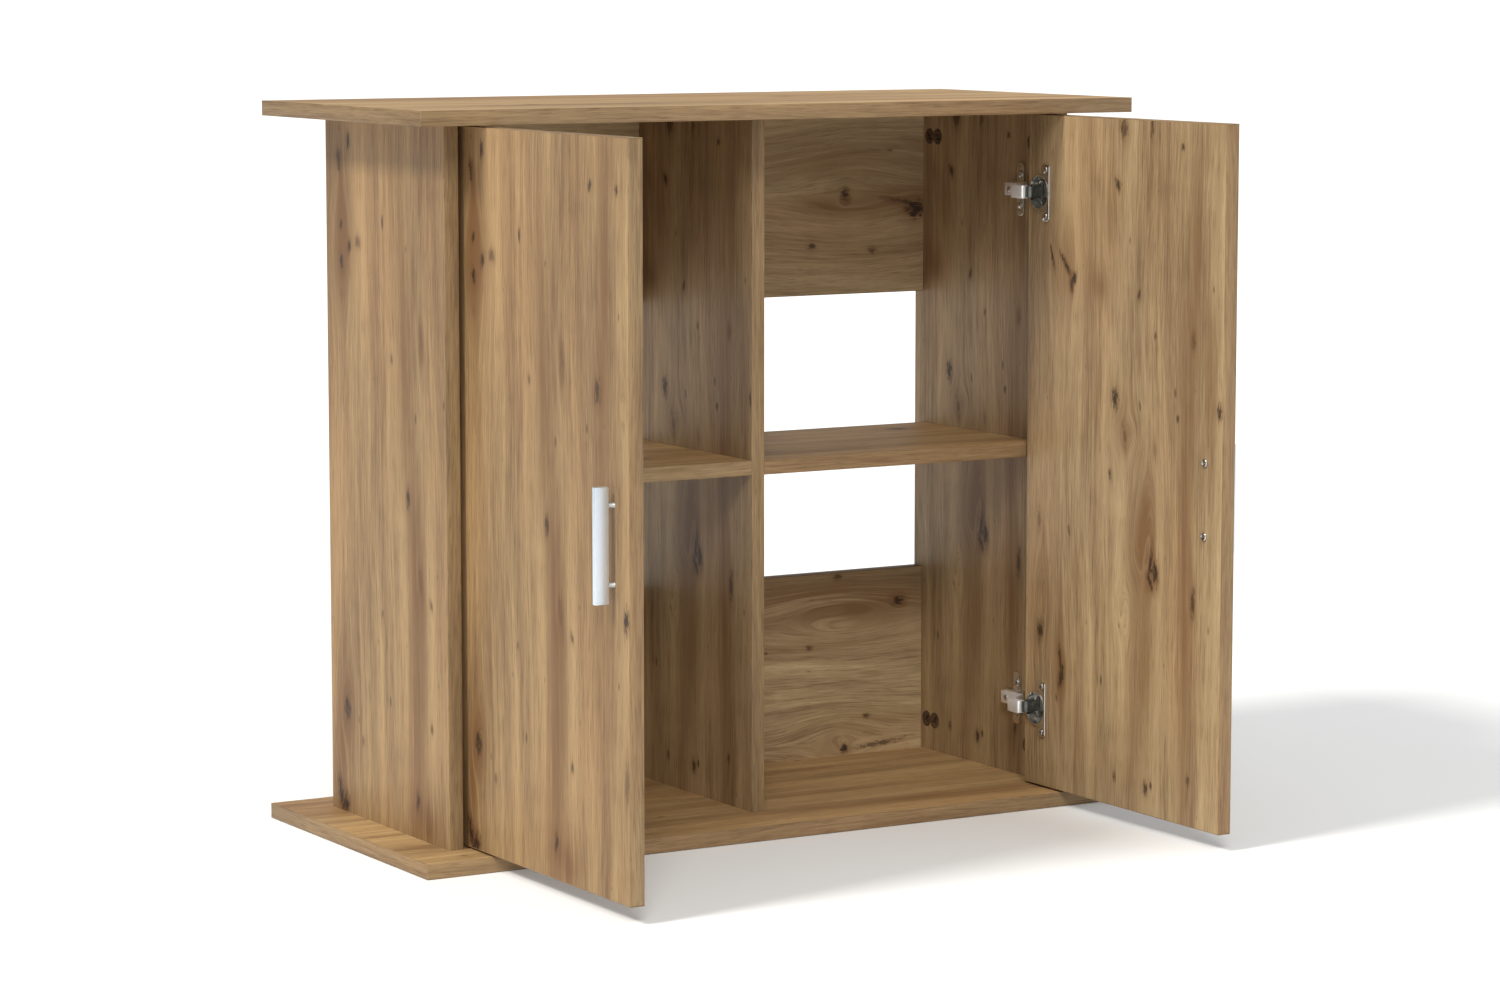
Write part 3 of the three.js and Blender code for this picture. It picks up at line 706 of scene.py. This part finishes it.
panel_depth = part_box("side_panel_left")[1][Y]
board(
    "side_panel_left", X, Z, (FRONT, REAR),
    (OAK_OUTER, -1, panel_depth, 0.0), (OAK_INNER, 1, 0.16, 0.0),
)
board(
    "side_panel_right", X, Z, (FRONT, REAR),
    (OAK_INNER, -1, MAIN_KNOT_ACROSS, 0.0), (OAK_OUTER, 1, 0.2, 0.0),
)
door_free_edge, door_hinge_edge = (corner[Y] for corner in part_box("door_left"))
board(
    "door_left", X, Z, ALL_ROUND_DOOR,
    (OAK_OUTER, -1, door_hinge_edge, 0.0), (OAK_INNER, 1, -door_free_edge, 0.0),
    free_ends=True,
)
board(
    "door_right", X, Z, ALL_ROUND_DOOR,
    (OAK_INNER, -1, door_hinge_edge, 0.0), (OAK_OUTER, 1, -door_free_edge, 0.0),
    free_ends=True,
)


# ---------------------------------------------------------------- hardware

def softened(node, ending, material, radius, sharp=38):
    """Stands for a CAD node with the same shape and small rounded edges that catch the light."""
    mesh = rebuilt(node)
    bmesh.ops.dissolve_limit(mesh, angle_limit=math.radians(1), verts=mesh.verts, edges=mesh.edges)
    edges = [e for e in mesh.edges if len(e.link_faces) == 2 and e.calc_face_angle() > math.radians(sharp)]
    bevel(mesh, edges, radius, 2)
    bmesh.ops.triangulate(mesh, faces=[face for face in mesh.faces if len(face.verts) > 4])
    piece = new_object(node + ending, mesh, (material,), body_of(node))
    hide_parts(node)
    return piece


def lathe(profile, steps):
    """A closed solid of revolution about Z. The profile runs from the axis to the axis."""
    mesh = bmesh.new()
    rings = []
    for radius, height in profile:
        if radius < SAME_PLACE:
            rings.append([mesh.verts.new((0.0, 0.0, height))])
            continue
        turns = [2 * math.pi * i / steps for i in range(steps)]
        rings.append([mesh.verts.new((radius * math.cos(t), radius * math.sin(t), height)) for t in turns])
    for lower, upper in zip(rings, rings[1:]):
        for i in range(steps):
            after = (i + 1) % steps
            below = (lower[i % len(lower)], lower[after % len(lower)])
            above = (upper[after % len(upper)], upper[i % len(upper)])
            mesh.faces.new(list(dict.fromkeys(below + above)))
    bmesh.ops.recalc_face_normals(mesh, faces=mesh.faces)
    return mesh


def difference(mesh, cutter):
    """Mesh data of one bmesh with the other's volume taken out."""
    pair = []
    for name, part in (("cut_from", mesh), ("cut_with", cutter)):
        data = bpy.data.meshes.new(name)
        part.to_mesh(data)
        part.free()
        pair.append(bpy.data.objects.new(name, data))
        bpy.context.scene.collection.objects.link(pair[-1])
    modifier = pair[0].modifiers.new("cut", "BOOLEAN")
    modifier.operation = "DIFFERENCE"
    modifier.solver = "EXACT"
    modifier.object = pair[1]
    bpy.context.view_layer.update()
    graph = bpy.context.evaluated_depsgraph_get()
    result = bpy.data.meshes.new_from_object(pair[0].evaluated_get(graph))
    for part in pair:
        bpy.data.objects.remove(part)
    return result


def cross_recess(radius, top, depth):
    """The cutter for a cross recess: two blades that narrow downwards."""
    mesh = bmesh.new()
    for long_axis in (X, Y):
        blade = bmesh.ops.create_cube(mesh, size=2.0)["verts"]
        for vertex in blade:
            narrow = 0.55 if vertex.co.z < 0 else 1.0
            height = top + depth if vertex.co.z > 0 else top - depth
            reach = [radius * 0.17, radius * 0.17]
            reach[long_axis] = radius * 0.62
            vertex.co = (vertex.co.x * reach[X] * narrow, vertex.co.y * reach[Y] * narrow, height)
    return mesh


THREAD_ROOT = 0.78  # the thread's inner radius as a share of its outer one
SCREW_STEPS = 24
DOME_STEPS = 6
RECESS_DEPTH = 0.62  # the cross recess's depth as a share of the head's height


def screw_data(name, head_radius, head_height, shank_radius, length, pitch=1.25 * MM):
    """A dome-headed screw along +Z with its head's underside at zero."""
    profile = [(0.0, -length), (shank_radius * 0.5, -length + 0.6 * MM)]
    height = -length + 0.8 * MM
    while height < -2.4 * MM:
        profile += [(shank_radius * THREAD_ROOT, height), (shank_radius, height + pitch / 2)]
        height += pitch
    root = shank_radius * THREAD_ROOT
    profile += [(root, height), (root, 0.0), (head_radius, 0.0)]
    rise = head_height * 0.3
    profile.append((head_radius, rise * 0.8))
    for step in range(1, DOME_STEPS):
        turn = math.radians(90 * step / DOME_STEPS)
        profile.append((head_radius * math.cos(turn), rise + (head_height - rise) * math.sin(turn)))
    profile.append((0.0, head_height))
    recess = cross_recess(head_radius, head_height, head_height * RECESS_DEPTH)
    data = difference(lathe(profile, SCREW_STEPS), recess)
    data.name = name
    data.shade_smooth()
    data.set_sharp_from_angle(angle=SMOOTH_UNDER)
    data.materials.clear()
    data.materials.append(SCREW_STEEL)
    return data


def screws(kind, nodes, head_height, shank_radius):
    """Screws along X that stand for CAD nodes, head on the side nearer the cabinet's middle."""
    data = None
    for node in nodes:
        lo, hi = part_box(node)
        size, centre = hi - lo, (lo + hi) / 2
        if data is None:
            data = screw_data(kind, size.z / 2, head_height, shank_radius, size.x - head_height)
        side = 1 if centre.x > 0 else -1
        head_side = lo.x if side > 0 else hi.x
        turned = Matrix.Rotation(math.radians(-90 * side), 4, "Y")
        spun = Matrix.Rotation(0.35 * centre.z / MM, 4, "Z")
        place = Matrix.Translation((head_side + side * head_height, centre.y, centre.z)) @ turned @ spun
        piece = shown(node + "_threaded", data, body_of(node), place)
        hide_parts(node)


LIP = 1.0 * MM
LIP_ENDS = 2.0 * MM


def flange_lip(side_name, level):
    """The rolled far edge of a hinge flange, which the photo shows as a bright line."""
    node = f"hinge_cup_{side_name}_{level}"
    lo, hi = (Vector(corner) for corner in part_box(node))
    lo.z += LIP_ENDS
    hi.z -= LIP_ENDS
    hi.y = lo.y + LIP
    if lo.x > 0:
        hi.x = lo.x + LIP
    else:
        lo.x = hi.x - LIP
    mesh = box_mesh(lo, hi)
    bevel(mesh, mesh.edges, LIP * 0.35, 3)
    # The lip's near-white nickel is painted reflection.
    new_object(node + "_lip", mesh, (NICKEL_PAINTED_REFLECTION,), body_of(node))


ARM_FOOT_THICK = 5.0 * MM
ADJUSTER_FROM_REAR = {"rear": 8.5 * MM, "front": 26.5 * MM}


def adjusting_screws(side_name, side, level, data):
    """The two screws on a hinge arm's foot that set the door's place, heads to the cabinet's middle."""
    node = f"hinge_arm_{side_name}_{level}"
    lo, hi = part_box(node)
    face = hi.x - ARM_FOOT_THICK if side > 0 else lo.x + ARM_FOOT_THICK
    for end, distance in ADJUSTER_FROM_REAR.items():
        turned = Matrix.Rotation(math.radians(-90 * side), 4, "Y")
        spun = Matrix.Rotation(distance / MM, 4, "Z")
        place = Matrix.Translation((face, hi.y - distance, (lo.z + hi.z) / 2)) @ turned @ spun
        shown(f"adjusting_screw_{side_name}_{level}_{end}", data, body_of(node), place)


BAR_ROUND = 0.45 * MM
BAR_GAP = 6.6 * MM
POST_RADIUS = 2.8 * MM
POST_OFFSET = 36.25 * MM
POST_INTO_BAR = 1.0 * MM


def handle(side_name, side):
    """A flat bar on two round posts with flared feet."""
    node = "handle_" + side_name
    lo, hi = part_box(node)
    centre = (lo + hi) / 2
    door_lo, door_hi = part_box("door_" + side_name)
    face = door_hi.x if side > 0 else door_lo.x
    bar_lo, bar_hi = Vector(lo), Vector(hi)
    if side > 0:
        bar_lo.x = face + BAR_GAP
    else:
        bar_hi.x = face - BAR_GAP
    mesh = box_mesh(bar_lo, bar_hi)
    bevel(mesh, mesh.edges, BAR_ROUND, 4)
    bar = new_object(node + "_bar", mesh, (ALUMINIUM,), "door_" + side_name)
    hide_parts(node)
    length = BAR_GAP + POST_INTO_BAR
    profile = (
        (0.0, 0.0), (POST_RADIUS, 0.0), (POST_RADIUS, 0.5 * MM), (POST_RADIUS * 0.86, 1.3 * MM),
        (POST_RADIUS * 0.86, length - 0.2 * MM), (POST_RADIUS * 0.8, length), (0.0, length),
    )
    for level, end in zip(LEVELS, (-1, 1)):
        post = lathe(profile, 28)
        turned = Matrix.Rotation(math.radians(90 * side), 4, "Y")
        place = Matrix.Translation((face, centre.y, centre.z + end * POST_OFFSET)) @ turned
        post.transform(place)
        name = f"{node}_post_{level}"
        new_object(name, post, (ALUMINIUM,), "door_" + side_name)


adjuster = screw_data("adjusting_screw", 2.9 * MM, 1.1 * MM, 2.2 * MM, 4.0 * MM)
for side_name, side in SIDES.items():
    handle(side_name, side)
    for end in ("top_front", "top_rear", "bottom_front", "bottom_rear"):
        softened(f"panel_connector_{side_name}_{end}", "_moulded", BROWN_PLASTIC, 0.25 * MM)
    for level in LEVELS:
        softened(f"hinge_cup_{side_name}_{level}", "_pressed", NICKEL, 0.45 * MM)
        softened(f"hinge_link_{side_name}_{level}", "_pressed", DARK_STEEL, 0.3 * MM)
        # The arm's near-white nickel is painted reflection.
        softened(f"hinge_arm_{side_name}_{level}", "_pressed", NICKEL_PAINTED_REFLECTION, 0.4 * MM)
        flange_lip(side_name, level)
        adjusting_screws(side_name, side, level, adjuster)
        softened(f"hinge_plate_{side_name}_{level}", "_cast", NICKEL, 0.4 * MM)

pairs = [(side_name, level, end) for side_name in SIDES for level in LEVELS for end in LEVELS]
screws("handle_screw", [f"handle_screw_{s}_{end}" for s in SIDES for end in LEVELS], 2.3 * MM, 2.0 * MM)
screws("cup_screw", ["cup_screw_{}_{}_{}".format(*names) for names in pairs], 1.6 * MM, 1.7 * MM)
screws("plate_screw", ["plate_screw_{}_{}_{}".format(*names) for names in pairs], 1.8 * MM, 1.9 * MM)


# ---------------------------------------------------------------- floor, light and camera

FLOOR_HALF = 400.0
SKY_REAR = 0.38
SKY_FRONT = 0.82


def floor():
    material, graph, shader = new_material("studio_floor", Roughness=0.9, Specular_IOR_Level=0.1)
    place = graph.add("ShaderNodeTexCoord").outputs["Object"]
    cloud = graph.noise(place, (0.8, 0.8, 0.0), detail=2.0)
    stops = ((0.3, (0.90, 0.90, 0.90, 1.0)), (0.7, (0.93, 0.93, 0.93, 1.0)))
    graph.feed(shader.inputs["Base Color"], graph.ramp(cloud, stops))
    mesh = bmesh.new()
    bmesh.ops.create_grid(mesh, x_segments=8, y_segments=8, size=FLOOR_HALF)
    data = bpy.data.meshes.new("studio_floor")
    mesh.to_mesh(data)
    mesh.free()
    data.materials.append(material)
    piece = bpy.data.objects.new("studio_floor", data)
    piece.location = (0.0, 0.0, cad_box[0][Z] - 0.5 * MM)
    bpy.context.scene.collection.objects.link(piece)


def sky():
    """A plain pale sky, brighter in front and to the right of the cabinet than behind it."""
    world = bpy.data.worlds.new("studio_sky")
    world.use_nodes = True
    bpy.context.scene.world = world
    graph = Graph(world.node_tree)
    place = graph.add("ShaderNodeTexCoord").outputs["Generated"]
    frontward = graph.vector("DOT_PRODUCT", place, (0.45, -0.84, 0.30))
    background = world.node_tree.nodes["Background"]
    background.inputs["Color"].default_value = (0.94, 0.975, 1.0, 1.0)
    graph.feed(background.inputs["Strength"], graph.span(frontward, -0.6, 1.0, SKY_REAR, SKY_FRONT))


def soft_sun(name, toward, strength, width):
    """A wide even light from far away, so that both doors get the same."""
    data = bpy.data.lights.new(name, "SUN")
    data.energy = strength
    data.angle = math.radians(width)
    data.color = (1.0, 0.975, 0.92)
    light = bpy.data.objects.new(name, data)
    light.rotation_euler = Vector(toward).to_track_quat("Z", "Y").to_euler()
    bpy.context.scene.collection.objects.link(light)


def camera(place, yaw, pitch, lens):
    data = bpy.data.cameras.new("studio_camera")
    data.lens = lens
    data.sensor_width = 36.0
    data.clip_end = 1000.0
    seen = bpy.data.objects.new("studio_camera", data)
    seen.location = place
    seen.rotation_euler = (math.radians(90 - pitch), 0.0, math.radians(-yaw))
    bpy.context.scene.collection.objects.link(seen)
    bpy.context.scene.camera = seen


floor()
sky()
soft_sun("light_from_left", toward=(-0.70, -0.08, 0.71), strength=2.2, width=12.0)
soft_sun("light_from_front", toward=(-0.35, -0.70, 0.62), strength=1.4, width=20.0)
camera(place=(-2.2225, -3.8803, 0.8672), yaw=30.43, pitch=6.97, lens=105.53)
bpy.context.scene.view_settings.view_transform = "Standard"
